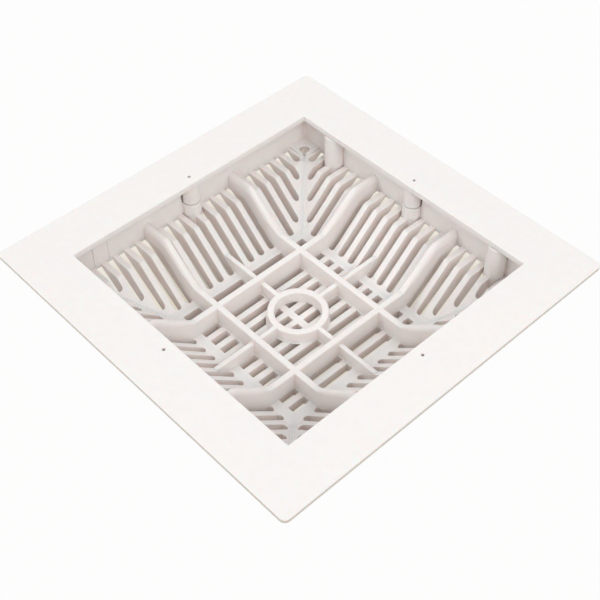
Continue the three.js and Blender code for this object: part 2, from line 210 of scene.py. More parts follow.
# Floor, in metres from its middle: where the part's shade ends and the white begins
STAGE_REACH = 6
STAGE_LEVEL = -0.0003
SHADE_SHIFT = {"X": 0.04, "Y": -0.04}
SHADE_CORE = (0.05, 0.1)
SHADE_EDGE = (0.1, 0.145)
SHADE_GLOW = (0.3, 0.85)
SHADE_COLOUR = [0.87, 0.8, 0.67]

SIDES = {"north": 0, "west": 90, "south": 180, "east": 270}
CORNERS = {"northeast": (1, 1), "southeast": (1, -1), "southwest": (-1, -1), "northwest": (-1, 1)}


# --- Meshes -----------------------------------------------------------------------------


def linear(*srgb):
    """A colour's linear values, from its 0 to 255 values."""
    return [((c / 255 + 0.055) / 1.055) ** 2.4 if c > 10 else c / 255 / 12.92 for c in srgb]


def turned(points, degrees):
    """Points turned about the part's upright axis."""
    turn = Matrix.Rotation(math.radians(degrees), 3, "Z")
    return [turn @ Vector(p) for p in points]


def new_mesh_object(name, points, faces):
    mesh = bpy.data.meshes.new(name)
    mesh.from_pydata([Vector(p) * MM for p in points], [], faces)
    work = bmesh.new()
    work.from_mesh(mesh)
    bmesh.ops.remove_doubles(work, verts=work.verts, dist=1e-7)
    bmesh.ops.dissolve_degenerate(work, edges=work.edges, dist=1e-7)
    bmesh.ops.recalc_face_normals(work, faces=work.faces)
    work.to_mesh(mesh)
    work.free()
    piece = bpy.data.objects.new(name, mesh)
    bpy.context.scene.collection.objects.link(piece)
    return piece


def applied(piece):
    """Bakes a piece's modifiers into its mesh."""
    graph = bpy.context.evaluated_depsgraph_get()
    mesh = bpy.data.meshes.new_from_object(piece.evaluated_get(graph))
    piece.modifiers.clear()
    old, piece.data = piece.data, mesh
    bpy.data.meshes.remove(old)
    return piece


def combined(piece, tools, operation):
    for tool in tools:
        boolean = piece.modifiers.new("combine", "BOOLEAN")
        boolean.operation = operation
        boolean.solver = "MANIFOLD"
        boolean.object = tool
    applied(piece)
    for tool in tools:
        bpy.data.objects.remove(tool)
    return piece


def finished(piece, node, material, angle=33):
    """Smooths a piece between its sharp edges, dresses it and puts it in place of its node."""
    mesh = piece.data
    mesh.shade_smooth()
    mesh.set_sharp_from_angle(angle=math.radians(angle))
    weighted = piece.modifiers.new("weighted", "WEIGHTED_NORMAL")
    weighted.keep_sharp = True
    applied(piece)
    piece.data.materials.clear()
    piece.data.materials.append(material)
    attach(piece, body)
    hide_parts(node)
    return piece


def loft(sections, name="loft"):
    """A closed skin through sections that have the same number of points."""
    count = len(sections[0])
    points = [p for section in sections for p in section]
    faces = []
    for row in range(len(sections) - 1):
        for i in range(count):
            a, b = row * count + i, row * count + (i + 1) % count
            faces.append((a, b, b + count, a + count))
    faces.append(tuple(range(count)))
    faces.append(tuple(range(len(points) - count, len(points))))
    return new_mesh_object(name, points, faces)


def tube(loops, name="tube"):
    """A ring-shaped skin whose section goes once round through the loops."""
    count = len(loops[0])
    points = [p for ring in loops for p in ring]
    total = len(points)
    faces = []
    for row in range(len(loops)):
        for i in range(count):
            a, b = row * count + i, row * count + (i + 1) % count
            faces.append((a, b, (b + count) % total, (a + count) % total))
    return new_mesh_object(name, points, faces)


def lathe(profile, x=0, y=0, steps=48, name="lathe"):
    """Turns a profile about an upright axis.

    The profile is radius against level. It starts and ends on the axis, or is a closed ring.
    """
    points, faces = [], []
    for radius, level in profile:
        for i in range(steps):
            a = 2 * math.pi * (i + 0.5) / steps
            points.append((x + radius * math.cos(a), y + radius * math.sin(a), level))
    closed = profile[0][0] > 0
    rows = len(profile)
    for row in range(rows if closed else rows - 1):
        for i in range(steps):
            j = (i + 1) % steps
            a, b = row * steps, (row + 1) % rows * steps
            faces.append((a + i, a + j, b + j, b + i))
    return new_mesh_object(name, points, faces)


def rounded_rod(radius, bottom, top, bottom_edge=0.0, top_edge=0.0):
    """The profile of an upright post, with rounded edges at either end."""
    profile = [(0, bottom)]
    profile += [
        (radius - bottom_edge * (1 - math.sin(a)), bottom + bottom_edge * (1 - math.cos(a)))
        for a in arc_angles(bottom_edge)
    ]
    profile += [
        (radius - top_edge * (1 - math.cos(a)), top - top_edge * (1 - math.sin(a)))
        for a in arc_angles(top_edge)
    ]
    return profile + [(0, top)]


def arc_angles(radius, steps=4):
    return [math.pi / 2 * i / steps for i in range(steps + 1)] if radius > 0 else [0]


def square_loop(reach, corner, level, steps=8):
    """A level square with rounded corners."""
    points = []
    for quarter in range(4):
        for i in range(steps + 1):
            a = math.pi / 2 * (quarter + i / steps)
            cx = (reach - corner) * (1 if quarter in (0, 3) else -1)
            cy = (reach - corner) * (1 if quarter in (0, 1) else -1)
            points.append((cx + corner * math.cos(a), cy + corner * math.sin(a), level))
    return points


def bored(radius, x, y, bottom, top, steps=32):
    return lathe(rounded_rod(radius, bottom, top), x, y, steps, "bore")


# --- Basket ----------------------------------------------------------------------------


def blend(m, bend, half, before, after):
    """Rise of a line that turns from one slope to another at a bend, over a short arc."""
    if m <= bend - half:
        return before * (m - bend)
    if m >= bend + half:
        return after * (m - bend)
    return (before * (m - bend)) + (after - before) * (m - bend + half) ** 2 / (4 * half)


CLIMB = (SHELF - FLOOR) / (HEAD - FOOT)
UNDER_CLIMB = (SHELF - RIM_EDGE) / (COLLAR_OUTER - UNDER)


def inside_level(m):
    """The basket's inside along a line square to a wall, at a reach."""
    if m < (FOOT + HEAD) / 2:
        return FLOOR + blend(m, FOOT, FOOT_BLEND, 0, CLIMB)
    return SHELF + blend(m, HEAD, HEAD_BLEND, CLIMB, 0)


def smooth_step(value, low, high):
    t = min(1, max(0, (value - low) / (high - low)))
    return t * t * (3 - 2 * t)


def top_level(x, y):
    """The basket's inside at a point, with the bead lines on its hips."""
    ax, ay = abs(x), abs(y)
    m = max(ax, ay)
    off = abs(ax - ay) / math.sqrt(2)
    if m <= PANEL_REACH + 0.01 or off > HIP_HALF + 0.01 or m > COLLAR_REACH:
        return inside_level(m)
    strip = inside_level((ax + ay) / 2 + HIP_HALF / math.sqrt(2))
    if off > HIP_CREST:
        rise = HIP_RISE * max(0, HIP_HALF - off) / (HIP_HALF - HIP_CREST)
    else:
        inward = min(1, (HIP_CREST - off) / (HIP_CREST - HIP_VALLEY))
        rise = HIP_RISE + (HIP_VALLEY_RISE - HIP_RISE) * inward
    ends = smooth_step(m, FOOT - 1, FOOT + 2) * smooth_step(-m, -HEAD - 5, -HEAD - 1)
    return strip + rise * ends


def under_level(x, y):
    return blend(max(abs(x), abs(y)), UNDER, UNDER_BLEND, 0, UNDER_CLIMB)


FOOT_CENTRE = SLOT_START + SLOT / 2
RING = SLOT / 2 + SLOT_EDGE
ARC_STEPS = 6


def on_arc(centre, degrees):
    return centre - RING * math.cos(math.radians(degrees))


# Level lines that rule the panels: through the slots' round ends, and at the head
SEVENTH_CENTRE = PITCH * 6.5 + HIP_GAP + SLOT / 2
LEVELS = [on_arc(FOOT_CENTRE, d) for d in (45, 60, 75, 90)]
LEVELS += [on_arc(SEVENTH_CENTRE, d) for d in (15, 30, 45)]
LEVELS += [HEAD + HEAD_BLEND * t for t in (-1, -0.5, 0, 0.5, 1)]


def slot_loop(x, near, far, near_corner, far_corner, corner_steps, levels=()):
    """A slot's outline, each point with the direction that leads away from the slot."""
    half = SLOT / 2
    points = []

    def corner(cx, cy, radius, start, steps):
        for i in range(steps + 1):
            a = start + math.pi / 2 * i / steps
            c, s = math.cos(a), math.sin(a)
            points.append((cx + radius * c, cy + radius * s, c, s))

    inner = [y for y in levels if near + near_corner + 1e-6 < y < far - far_corner - 1e-6]
    corner(x - half + near_corner, near + near_corner, near_corner, math.pi, corner_steps)
    corner(x + half - near_corner, near + near_corner, near_corner, 1.5 * math.pi, corner_steps)
    points += [(x + half, y, 1, 0) for y in inner]
    corner(x + half - far_corner, far - far_corner, far_corner, 0, 3)
    corner(x - half + far_corner, far - far_corner, far_corner, math.pi / 2, 3)
    points += [(x - half, y, -1, 0) for y in reversed(inner)]
    kept = []
    for p in points:
        if not kept or math.dist(p[:2], kept[-1][:2]) > 1e-5 or math.dist(p[2:], kept[-1][2:]) > 0.5:
            kept.append(p)
    return kept


def rotated_loop(loop, degrees):
    c, s = round(math.cos(math.radians(degrees))), round(math.sin(math.radians(degrees)))
    return [(c * x - s * y, s * x + c * y, c * u - s * v, s * u + c * v) for x, y, u, v in loop]


def side_slot_places():
    places = []
    k = 0
    while PITCH * (k + 0.5) < COLLAR_REACH - HIP_GAP - SHORTEST_SLOT:
        x = PITCH * (k + 0.5)
        places.append((x, max(SLOT_START, x + HIP_GAP)))
        k += 1
    return places


def basket_loops():
    loops = []
    for x, near in side_slot_places():
        for sign in (1, -1):
            loop = slot_loop(sign * x, near, SLOT_END, SLOT / 2, 0.5, ARC_STEPS, sorted(LEVELS))
            loops += [(side, rotated_loop(loop, turn)) for side, turn in SIDES.items()]
    k = 0
    while PITCH * (k + 0.5) + SLOT / 2 < FLOOR_ROWS[1][1] + 1:
        for x in (PITCH * (k + 0.5), -PITCH * (k + 0.5)):
            for near, far in FLOOR_ROWS:
                for a, b in ((near, far), (-far, -near)):
                    c = FLOOR_SLOT_CORNER
                    loops.append(("floor", slot_loop(x, a, b, c, c, 3)))
        k += 1
    return loops


def hip_points(level):
    """Places along a level line, from the east, where it meets the lines of a hip."""
    return [level - off * math.sqrt(2) for off in (0, HIP_VALLEY, HIP_CREST, HIP_HALF)]


def level_gaps(level):
    """Where a level line on the north side runs over solid bars, as pairs of x."""
    cuts = []
    for x, near in side_slot_places():
        centre = near + SLOT / 2
        if level > SLOT_END or level < centre - RING:
            continue
        half = RING if level >= centre - 1e-6 else math.sqrt(max(0, RING**2 - (level - centre) ** 2))
        cuts += [(x - half, x + half), (-x - half, half - x)]
    xs = sorted(cuts)
    hips = hip_points(level)
    edges = [-hips[-1], *(x for pair in xs for x in pair), hips[-1]]
    gaps = list(zip(edges[::2], edges[1::2]))
    for a, b in zip(hips, hips[1:]):
        gaps += [(-a, -b), (b, a)]
    return gaps


class Plan:
    """The basket seen from above, cut into triangles between its slots."""

    def __init__(self, loops):
        self.points, self.seen, self.edges = [], {}, []
        slots = []
        for _, loop in loops:
            ring = [self.place(x + u * SLOT_EDGE, y + v * SLOT_EDGE) for x, y, u, v in loop]
            slots.append(ring)
        self.rule()
        result = delaunay_2d_cdt(self.points, self.edges, slots, 0, 1e-5)
        self.out, triangles, origins, parents = result[0], result[2], result[3], result[5]
        back = {}
        for index, sources in enumerate(origins):
            for source in sources:
                back[source] = index
        self.slots = [[back[v] for v in ring] for ring in slots]
        self.triangles = [t for t, faces in zip(triangles, parents) if not faces]

    def place(self, x, y):
        key = (round(x, 4), round(y, 4))
        if key not in self.seen:
            self.seen[key] = len(self.points)
            self.points.append(Vector((x, y)))
        return self.seen[key]

    def join(self, a, b):
        a, b = self.place(*a), self.place(*b)
        if a != b:
            self.edges.append((a, b))

    def rule(self):
        """Rules the seams, the bends and the hips."""
        hip_levels = sorted([PANEL_REACH, *LEVELS, 78, 92, 97, 108.7, COLLAR_OUTER])
        for turn in SIDES.values():
            c, s = round(math.cos(math.radians(turn))), round(math.sin(math.radians(turn)))

            def spin(x, y):
                return c * x - s * y, s * x + c * y

            for level in LEVELS:
                for a, b in level_gaps(level):
                    self.join(spin(a, level), spin(b, level))
            for level in (PANEL_REACH, COLLAR_OUTER):
                xs = sorted([-x for x in hip_points(level)] + hip_points(level))
                for a, b in zip(xs, xs[1:]):
                    self.join(spin(a, level), spin(b, level))
            for low, high in zip(hip_levels, hip_levels[1:]):
                for a, b in zip(hip_points(low), hip_points(high)):
                    self.join(spin(a, low), spin(b, high))
                    self.join(spin(-a, low), spin(-b, high))

    def region(self, triangle):
        x = sum(self.out[v].x for v in triangle) / 3
        y = sum(self.out[v].y for v in triangle) / 3
        if max(abs(x), abs(y)) < PANEL_REACH:
            return "floor"
        if abs(y) > abs(x):
            return "north" if y > 0 else "south"
        return "east" if x > 0 else "west"


def panel(plan, loops, region):
    """One panel of the basket: top, underside, seams and rounded slots."""
    points, faces = [], []
    top, under = {}, {}

    def add(x, y, z):
        points.append((x, y, z))
        return len(points) - 1

    triangles = [t for t in plan.triangles if plan.region(t) == region]
    slot_edges = set()
    for (side, _), ring in zip(loops, plan.slots):
        if side == region:
            slot_edges |= {frozenset(e) for e in zip(ring, ring[1:] + ring[:1])}
    uses = {}
    for t in triangles:
        for v in t:
            if v not in top:
                x, y = plan.out[v]
                top[v] = add(x, y, top_level(x, y))
                under[v] = add(x, y, under_level(x, y))
        for e in zip(t, t[1:] + t[:1]):
            uses.setdefault(frozenset(e), []).append(e)
        faces.append([top[v] for v in t])
        faces.append([under[v] for v in reversed(t)])
    for key, edges in uses.items():
        if len(edges) == 1 and key not in slot_edges:
            a, b = edges[0]
            faces.append([top[b], top[a], under[a], under[b]])
    angles = [math.pi / 2 * i / 3 for i in (2, 1, 0)]
    for (side, loop), ring in zip(loops, plan.slots):
        if side != region:
            continue
        rows = [[top[v] for v in ring]]
        for level, sign in ((top_level, -1), (under_level, 1)):
            made = []
            for a in angles:
                out, drop = SLOT_EDGE * (1 - math.cos(a)), SLOT_EDGE * (1 - math.sin(a))
                row = []
                for x, y, u, v in loop:
                    px, py = x + u * out, y + v * out
                    row.append(add(px, py, level(px, py) + sign * drop))
                made.append(row)
            rows += made if sign < 0 else made[::-1]
        rows.append([under[v] for v in ring])
        for upper, lower in zip(rows, rows[1:]):
            for i in range(len(loop)):
                j = (i + 1) % len(loop)
                faces.append([upper[i], upper[j], lower[j], lower[i]])
    return new_mesh_object(region + "_panel", points, faces)


def foot(x, y, radius):
    """Fills the slots under a post, from the underside up to the shelf."""
    rings = []
    for top in (False, True):
        ring = []
        for i in range(48):
            a = 2 * math.pi * i / 48
            px = x + radius * math.cos(a)
            py = min(y + radius * math.sin(a), COLLAR_OUTER - 1.2)
            ring.append((px, py, SHELF - SINK if top else under_level(0, py) + SINK))
        rings.append(ring)
    return rings


def side_panel(plan, loops, side, turn):
    piece = panel(plan, loops, side)
    feet = [foot(0, POST_REACH, BOSS_RADIUS)]
    if side in ("north", "south"):
        feet += [foot(s * TALL_PLACE, TALL_REACH, TALL_RADIUS) for s in (1, -1)]
    combined(piece, [loft([turned(ring, turn) for ring in rings]) for rings in feet], "UNION")
    x, y = turned([(0, POST_REACH, 0)], turn)[0].xy
    bores = [
        bored(FRAME_BORE, x, y, -1, SHELF + 1),
        lathe([(0, FRAME_RECESS[0][1]), *FRAME_RECESS, (0, FRAME_RECESS[-1][1])], x, y),
    ]
    for sign in (1, -1):
        x, y = turned([(sign * CORNER_PLACE, CORNER_PLACE, 0)], turn)[0].xy
        bores.append(bored(CORNER_BORE, x, y, -1, SHELF + 1))
        bores.append(bored(CORNER_RECESS, x, y, SHELF - CORNER_WEB, SHELF + 1))
        bores.append(corner_notch(math.copysign(1, x), math.copysign(1, y)))
    return combined(piece, bores, "DIFFERENCE")


# --- Rim collar -------------------------------------------------------------------------


def corner_notch(east, north):
    """A notch that leads from a corner screw toward the middle of the basket."""
    turn = math.degrees(math.atan2(-north, -east))
    rings = []
    for level in (SHELF - 1.2, SHELF + PAD_HEIGHT + 1):
        ring = turned([(x, y, level) for x, y in NOTCH], turn)
        rings.append([(p.x + east * CORNER_PLACE, p.y + north * CORNER_PLACE, p.z) for p in ring])
    return loft(rings)


def corner_pad(east, north):
    """A quarter-round pad in a corner of the collar."""
    levels = [(SHELF, 0), (SHELF + PAD_HEIGHT - PAD_EDGE, 0)]
    levels += [
        (SHELF + PAD_HEIGHT - PAD_EDGE * (1 - math.sin(a)), PAD_EDGE * (1 - math.cos(a)))
        for a in arc_angles(PAD_EDGE, 3)[1:]
    ]
    rings = []
    for level, inset in levels:
        back, near = COLLAR_REACH + 1, CORNER_PLACE - PAD_RADIUS + inset
        ring = [(back, back, level), (near, back, level)]
        for i in range(9):
            a = math.pi + math.pi / 2 * i / 8
            r = PAD_RADIUS - inset
            ring.append((CORNER_PLACE + r * math.cos(a), CORNER_PLACE + r * math.sin(a), level))
        ring.append((back, near, level))
        rings.append(turned(ring, math.degrees(math.atan2(north, east)) - 45))
    return loft(rings)


def key_pad(sign):
    """A shallow pad on the east or the west wall."""
    rings = []
    for depth, inset in ((-0.6, 0), (KEY_DEPTH - KEY_EDGE, 0), (KEY_DEPTH, KEY_EDGE)):
        x = sign * (COLLAR_REACH - depth)
        low = sign * KEY_PLACE - KEY_WIDTH / 2 + inset
        high = sign * KEY_PLACE + KEY_WIDTH / 2 - inset
        top = KEY_TOP - inset
        rings.append([(x, low, SHELF), (x, high, SHELF), (x, high, top), (x, low, top)])
    return loft(rings)


def groove(sign, end):
    """A line between a key pad and the wall."""
    half = GROOVE_WIDTH / 2
    y = sign * KEY_PLACE + end * (KEY_WIDTH / 2 + half)
    near, far = sign * (COLLAR_REACH - 1), sign * (COLLAR_REACH + GROOVE_DEPTH)
    outline = ((near, y - half), (far, y - half), (far, y + half), (near, y + half))
    return loft([[(px, py, z) for px, py in outline] for z in (SHELF + 0.3, KEY_TOP)])


def collar():
    edge = COLLAR_EDGE
    wall = [
        (COLLAR_OUTER, SHELF), (COLLAR_OUTER, FACE_BACK - edge), (COLLAR_OUTER - edge, FACE_BACK),
        (COLLAR_REACH + edge, FACE_BACK), (COLLAR_REACH, FACE_BACK - edge), (COLLAR_REACH, SHELF),
    ]
    loops = []
    for reach, level in wall:
        outside = reach > COLLAR_REACH + 1
        loops.append(square_loop(reach, COLLAR_CORNER / 2 if outside else COLLAR_CORNER, level))
    piece = tube(loops)
    bulges, added, removed = [], [], []
    for turn in SIDES.values():
        x, y = turned([(0, POST_REACH, 0)], turn)[0].xy
        boss = rounded_rod(BOSS_RADIUS, SHELF, POST_SEAT, top_edge=BOSS_EDGE)
        bulges.append(lathe(rounded_rod(BULGE_RADIUS, SHELF, FACE_BACK), x, y, POST_STEPS))
        added.append(lathe(boss, x, y, POST_STEPS))
        removed.append(bored(POCKET_RADIUS, x, y, POST_SEAT + 0.02, FACE_BACK + 1, POST_STEPS))
        removed.append(bored(FRAME_BORE, x, y, SHELF - 1, POST_SEAT + 1))
    for bulge in bulges:
        cavity = loft([
            square_loop(COLLAR_REACH + 0.5, COLLAR_CORNER, z) for z in (SHELF - 1, FACE_BACK + 1)
        ])
        combined(bulge, [cavity], "DIFFERENCE")
    for east, north in CORNERS.values():
        x, y = east * TALL_PLACE, north * TALL_REACH
        tall = rounded_rod(TALL_RADIUS, SHELF, TALL_TOP, top_edge=TALL_EDGE)
        added.append(lathe(tall, x, y, POST_STEPS))
        added.append(corner_pad(east, north))
        top, mouth = SHELF + PAD_HEIGHT, CORNER_RECESS + 0.6
        recess = [
            (0, SHELF - 1), (CORNER_RECESS, SHELF - 1), (CORNER_RECESS, top - 0.4),
            (mouth, top), (mouth, top + 1), (0, top + 1),
        ]
        removed.append(lathe(recess, east * CORNER_PLACE, north * CORNER_PLACE, 48))
        removed.append(corner_notch(east, north))
    added += [key_pad(1), key_pad(-1)]
    removed += [groove(sign, end) for sign in (1, -1) for end in (1, -1)]
    combined(piece, bulges + added, "UNION")
    return combined(piece, removed, "DIFFERENCE")


# --- Face frame -------------------------------------------------------------------------


def face_frame():
    def outer(inset):
        return FACE_REACH - inset, FACE_CORNER - inset

    def inner(out):
        return OPENING_REACH + out, OPENING_CORNER + out

    section = [
        (*inner(OPENING_EDGE * (1 - math.cos(a))), FACE - OPENING_EDGE * (1 - math.sin(a)))
        for a in arc_angles(OPENING_EDGE)
    ]
    section += [
        (*outer(FACE_EDGE * (1 - math.cos(a))), FACE - FACE_EDGE * (1 - math.sin(a)))
        for a in reversed(arc_angles(FACE_EDGE))
    ]
    section += [
        (*outer(0), LAND_BOTTOM + 0.3), (*outer(0.3), LAND_BOTTOM),
        (LAND_REACH, LAND_CORNER, LAND_BOTTOM), (LAND_REACH, LAND_CORNER, FACE_BACK),
        (*inner(LIP_WIDTH), FACE_BACK), (*inner(LIP_WIDTH), LIP_BOTTOM + 0.2),
        (*inner(LIP_WIDTH - 0.2), LIP_BOTTOM), (*inner(0.2), LIP_BOTTOM),
        (*inner(0), LIP_BOTTOM + 0.2),
    ]
    piece = tube([square_loop(reach, corner, z) for reach, corner, z in section])
    posts, bores = [], []
    for turn in SIDES.values():
        x, y = turned([(0, POST_REACH, 0)], turn)[0].xy
        neck = POST_RADIUS - POST_GAP_DEPTH
        neck = [(0, POST_SEAT), (neck, POST_SEAT), (neck, POST_SEAT + POST_GAP)]
        rod = rounded_rod(POST_RADIUS, POST_SEAT + POST_GAP, FACE_BACK + 0.6, POST_EDGE)
        posts.append(lathe(neck + rod[1:], x, y, POST_STEPS))
        bores.append(bored(FRAME_BORE, x, y, POST_SEAT - 1, FACE - PILOT_DEPTH))
        bores.append(bored(PILOT_BORE, x, y, FACE - PILOT_DEPTH - 1, FACE + 1))
    combined(piece, posts, "UNION")
    return combined(piece, bores, "DIFFERENCE")


# --- Ribs -------------------------------------------------------------------------------


def rib_section(
    place, reach, foot_width, crest_width, bottom, top,
    edge=RIB_EDGE, flare=RIB_FLARE, drop=None, skirt=RIB_SKIRT,
):
    """A rib's outline across its run: skirt, flared foot and a crest rounded by edge and drop."""
    half, crest = foot_width / 2, crest_width / 2
    right = [(half + flare, bottom - skirt), (half + flare, bottom)]
    right += [
        (half + flare * (1 - math.sin(a)), bottom + flare * (1 - math.cos(a)))
        for a in arc_angles(flare, 3)[1:]
    ]
    right += [
        (crest - edge * (1 - math.cos(a)), top - (drop or edge) * (1 - math.sin(a)))
        for a in arc_angles(edge, 7)
    ]
    outline = right + [(-x, z) for x, z in reversed(right)]
    return [(place + x, reach, z) for x, z in outline]


def lattice():
    edge = RING_EDGE
    bottom = FLOOR - SINK
    ring = [(RING_BORE, bottom), (RING_FOOT + 0.5, bottom), (RING_FOOT, FLOOR + 0.5)]
    ring += [
        (RING_CREST - edge * (1 - math.cos(a)), CROSS_LEVEL - edge * (1 - math.sin(a)))
        for a in arc_angles(edge)
    ]
    ring += [
        (RING_BORE + edge * (1 - math.cos(a)), CROSS_LEVEL - edge * (1 - math.sin(a)))
        for a in reversed(arc_angles(edge))
    ]
    piece = lathe(ring, steps=128)
    main = [
        rib_section(RIB_PLACE, y, RIB_FOOT, RIB_CREST, bottom, RIB_LEVEL)
        for y in (-PANEL_REACH, PANEL_REACH)
    ]
    end = FOOT + (CROSS_LEVEL - FLOOR) / CLIMB - 0.3
    start = (RING_BORE + RING_CREST) / 2
    cross = []
    for y in (start, PANEL_REACH, FOOT - FOOT_BLEND, FOOT, FOOT + FOOT_BLEND):
        low = inside_level(y) - (0.3 if y > PANEL_REACH else SINK)
        section = rib_section(
            0, y, CROSS_WIDTH, CROSS_WIDTH - 0.4, low, CROSS_LEVEL, CROSS_EDGE, CROSS_FLARE
        )
        cross.append(section)
    cross.append([(x, end, max(z, CROSS_LEVEL - CROSS_TIP)) for x, _, z in cross[-1]])
    added = []
    for turn in SIDES.values():
        added.append(loft([turned(section, turn) for section in main]))
        added.append(loft([turned(section, turn) for section in cross]))
    return combined(piece, added, "UNION")


def slope_rib(place, turn):
    climb = (RIB_TOP - RIB_LEVEL) / (RIB_HEAD_BEND - RIB_FOOT_BEND)
    middle = 85
    stations = [PANEL_REACH + 0.75 * i for i in range(5)]
    stations += [FOOT + FOOT_BLEND * t for t in (-1, -0.5, 0, 0.5, 1)]
    stations += [76, 78, 80, 82, 88]
    stations += [RIB_HEAD_BEND + 0.75 * i for i in range(-4, 5)]
    stations += [HEAD + HEAD_BLEND * t for t in (-1, -0.5, 0, 0.5, 1)]
    stations.append(COLLAR_REACH + 0.2)
    sections = []
    for y in sorted(stations):
        if y < middle:
            top = RIB_LEVEL + blend(y, RIB_FOOT_BEND, 1.5, 0, climb)
        else:
            top = RIB_TOP + blend(y, RIB_HEAD_BEND, 3, climb, 0)
        share = smooth_step(y, RIB_FOOT_BEND, SLOPE_CROWN_REACH)
        crest = RIB_CREST + (SLOPE_CREST - RIB_CREST) * share
        edge = RIB_EDGE + (SLOPE_EDGE - RIB_EDGE) * share
        drop = RIB_EDGE + (SLOPE_DROP - RIB_EDGE) * share
        skirt = RIB_SKIRT + (SLOPE_SKIRT - RIB_SKIRT) * smooth_step(y, FOOT, FOOT + 5)
        low = inside_level(y) - 0.3
        section = rib_section(
            place, y, RIB_FOOT, crest, low, top, edge, drop=drop, skirt=skirt
        )
        sections.append(turned(section, turn))
    return loft(sections)


# --- Screws -----------------------------------------------------------------------------


def screw(x, y, level, shank, head, head_height, length, up, pitch):
    """A pan head screw with a square socket; its head sits on a level, and it points up or down."""
    around, step = 32, pitch / 8
    rows = int(length / step)
    point, thread_depth = shank * 0.9, 0.3
    points, faces = [], []
    for row in range(rows + 1):
        z = -length + row * step
        taper = min(1, 0.12 + 0.88 * (z + length) / point)
        for i in range(around):
            turn = (z / pitch - i / around) % 1
            depth = thread_depth * abs(2 * turn - 1) * smooth_step(-z, 1.5, 3)
            radius = (shank / 2) * taper - depth * min(1, taper)
            a = 2 * math.pi * i / around
            points.append((radius * math.cos(a), radius * math.sin(a), z if row < rows else 0.5))
    for row in range(rows):
        for i in range(around):
            j = (i + 1) % around
            a, b = row * around, (row + 1) * around
            faces.append((a + i, a + j, b + j, b + i))
    faces.append(tuple(reversed(range(around))))
    faces.append(tuple(range(rows * around, (rows + 1) * around)))
    thread = new_mesh_object("thread", points, faces)
    r = head / 2
    dome = [(0, 0), (r - 0.15, 0), (r, 0.15)]
    for i in range(7):
        a = math.pi / 2 * i / 6
        dome.append((r * 0.62 + r * 0.38 * math.cos(a), head_height * (0.4 + 0.6 * math.sin(a))))
    dome.append((0, head_height))
    blank = lathe(dome, steps=48)
    half, slope = 1.3, 0.12
    socket = loft([
        [(sx * w, sy * w, z) for sx, sy in ((1, 1), (-1, 1), (-1, -1), (1, -1))]
        for w, z in ((half - slope, head_height - 1.2), (half, head_height + 0.4))
    ])
    combined(blank, [thread], "UNION")
    combined(blank, [socket], "DIFFERENCE")
    sign = -1 if up else 1
    for vertex in blank.data.vertices:
        cx, cy, cz = vertex.co / MM
        vertex.co = Vector((x + cx, y + sign * cy, level + sign * cz)) * MM
    return blank


# --- Materials --------------------------------------------------------------------------


def new_material(name):
    material = bpy.data.materials.new(name)
    material.use_nodes = True
    tree = material.node_tree
    return material, tree, tree.nodes["Principled BSDF"]


def noise(tree, coordinates, scale, detail=3, roughness=0.5):
    node = tree.nodes.new("ShaderNodeTexNoise")
    node.inputs["Scale"].default_value = scale
    node.inputs["Detail"].default_value = detail
    node.inputs["Roughness"].default_value = roughness
    tree.links.new(coordinates, node.inputs["Vector"])
    return node.outputs["Fac"]


def mapped(tree, value, low, high, to_low, to_high):
    """A value's place between low and high, carried over to another range."""
    node = tree.nodes.new("ShaderNodeMapRange")
    for name, number in (("From Min", low), ("From Max", high), ("To Min", to_low), ("To Max", to_high)):
        node.inputs[name].default_value = number
    tree.links.new(value, node.inputs["Value"])
    return node.outputs["Result"]


def mixed(tree, share, a, b):
    node = tree.nodes.new("ShaderNodeMix")
    node.data_type = "RGBA"
    for value, socket in ((a, node.inputs["A"]), (b, node.inputs["B"])):
        if isinstance(value, list):
            socket.default_value = (*value, 1)
        else:
            tree.links.new(value, socket)
    tree.links.new(share, node.inputs["Factor"])
    return node.outputs["Result"]


def maths(tree, operation, a, b):
    node = tree.nodes.new("ShaderNodeMath")
    node.operation = operation
    for value, socket in ((a, node.inputs[0]), (b, node.inputs[1])):
        if isinstance(value, (int, float)):
            socket.default_value = value
        else:
            tree.links.new(value, socket)
    return node.outputs[0]


def edge_share(tree, radius):
    """How near a point is to an edge, from how far a rounded normal turns from the true one."""
    bevel = tree.nodes.new("ShaderNodeBevel")
    bevel.samples = 4
    bevel.inputs["Radius"].default_value = radius
    geometry = tree.nodes.new("ShaderNodeNewGeometry")
    dot = tree.nodes.new("ShaderNodeVectorMath")
    dot.operation = "DOT_PRODUCT"
    tree.links.new(bevel.outputs["Normal"], dot.inputs[0])
    tree.links.new(geometry.outputs["Normal"], dot.inputs[1])
    return mapped(tree, dot.outputs["Value"], 1, 0.8, 0, 1)


def hollow_share(tree, reach, open_level, deep_level):
    """How deep a point lies in a slot or a corner."""
    node = tree.nodes.new("ShaderNodeAmbientOcclusion")
    node.samples = 6
    node.inputs["Distance"].default_value = reach
    return mapped(tree, node.outputs["AO"], open_level, deep_level, 0, 1)


def rim_shade_mask(tree, coordinates):
    """Marks the upright outer edge of the face frame, for painted shade that darkens it."""
    place = tree.nodes.new("ShaderNodeSeparateXYZ")
    tree.links.new(coordinates, place.inputs[0])
    across = [maths(tree, "ABSOLUTE", place.outputs[axis], 0) for axis in "XY"]
    outside = mapped(tree, maths(tree, "MAXIMUM", *across), 0.149, 0.1492, 0, 1)
    facing = tree.nodes.new("ShaderNodeSeparateXYZ")
    tree.links.new(tree.nodes.new("ShaderNodeNewGeometry").outputs["Normal"], facing.inputs[0])
    upright = mapped(tree, maths(tree, "ABSOLUTE", facing.outputs["Z"], 0), 0.8, 0.3, 0, 1)
    return maths(tree, "MULTIPLY", outside, upright)


